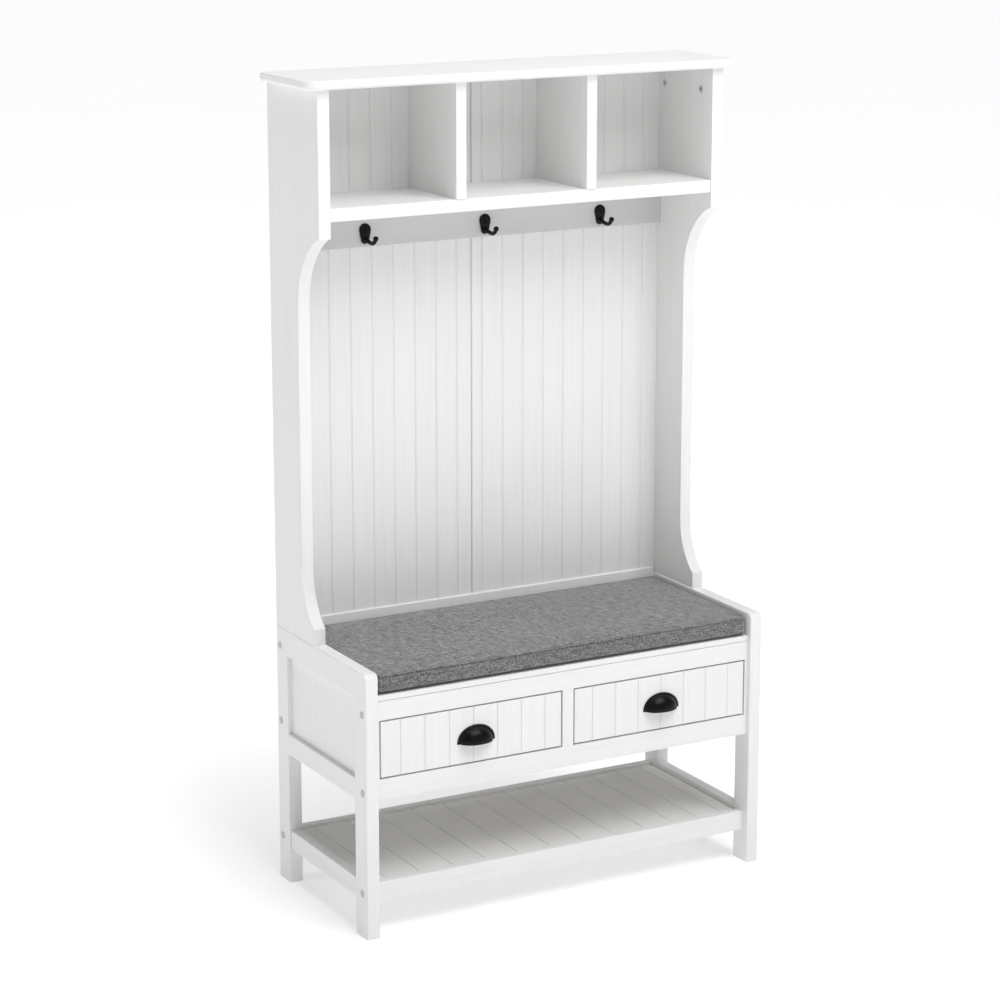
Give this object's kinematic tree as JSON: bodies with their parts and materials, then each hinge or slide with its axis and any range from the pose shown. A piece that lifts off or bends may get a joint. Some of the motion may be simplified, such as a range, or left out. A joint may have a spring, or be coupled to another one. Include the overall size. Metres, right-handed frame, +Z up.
{
  "type": "hall tree with hooks",
  "caption": "Hall tree: a cushioned bench with drawers and a low slatted shelf, under a beadboard back with hooks, cubbies and a top board.",
  "frame": {"origin": "on the floor, under the middle of the overall width and depth, the cup pulls included", "axes": "+Z up, -Y towards the front where a person sits, +X to the right as seen from the front"},
  "size_m": [0.956, 0.4135, 1.64],
  "materials": {
    "white_paint": "satin white paint over wood, with a faint vertical grain",
    "bare_wood": "unpainted pine, planed",
    "cushion_fabric": "heathered grey woven linen look",
    "black_metal": "satin black lacquer",
    "steel": "bright zinc plated",
    "cap_plastic": "matte grey plastic"
  },
  "bodies": {
    "frame": {"leg_front_left": "white_paint", "leg_front_right": "white_paint", "leg_rear_left": "white_paint", "leg_rear_right": "white_paint", "arm_left": "white_paint", "arm_right": "white_paint", "side_lower_rail_left": "white_paint", "side_lower_rail_right": "white_paint", "side_panel_left": "white_paint", "side_panel_right": "white_paint", "low_side_rail_left": "white_paint", "low_side_rail_right": "white_paint", "low_front_rail": "white_paint", "low_rear_rail": "white_paint", "shelf_cleats": "white_paint", "shelf_planks": "white_paint", "drawer_rail": "white_paint", "seat_rail": "white_paint", "centre_stile": "white_paint", "end_stile_left": "white_paint", "end_stile_right": "white_paint", "partition": "white_paint", "bench_back": "white_paint", "drawer_runners": "bare_wood", "drawer_kickers": "bare_wood", "drawer_stops": "bare_wood", "seat_board": "white_paint", "cushion": "cushion_fabric", "frame_bolts": "steel", "bolt_caps": "cap_plastic", "upper_side_left": "white_paint", "upper_side_right": "white_paint", "back_board_left": "white_paint", "back_board_right": "white_paint", "back_batten": "bare_wood", "cubby_shelf": "white_paint", "divider_left": "white_paint", "divider_right": "white_paint", "top_board": "white_paint", "cam_bolts": "steel", "cam_locks": "steel", "hook_rail": "white_paint", "hook_left": "black_metal", "hook_centre": "black_metal", "hook_right": "black_metal", "hook_screws": "black_metal"},
    "drawer_left": {"left_drawer_front": "white_paint", "left_drawer_side_outer": "white_paint", "left_drawer_side_inner": "white_paint", "left_drawer_back": "white_paint", "left_drawer_bottom": "white_paint", "left_drawer_pull": "black_metal", "left_drawer_screws": "steel"},
    "drawer_right": {"right_drawer_front": "white_paint", "right_drawer_side_outer": "white_paint", "right_drawer_side_inner": "white_paint", "right_drawer_back": "white_paint", "right_drawer_bottom": "white_paint", "right_drawer_pull": "black_metal", "right_drawer_screws": "steel"}
  },
  "joints": [
    {"name": "drawer_left_slide", "type": "slide", "parent": "frame", "child": "drawer_left", "axis": [0, -1, 0], "range_m": [0, 0.25]},
    {"name": "drawer_right_slide", "type": "slide", "parent": "frame", "child": "drawer_right", "axis": [0, -1, 0], "range_m": [0, 0.25]}
  ]
}
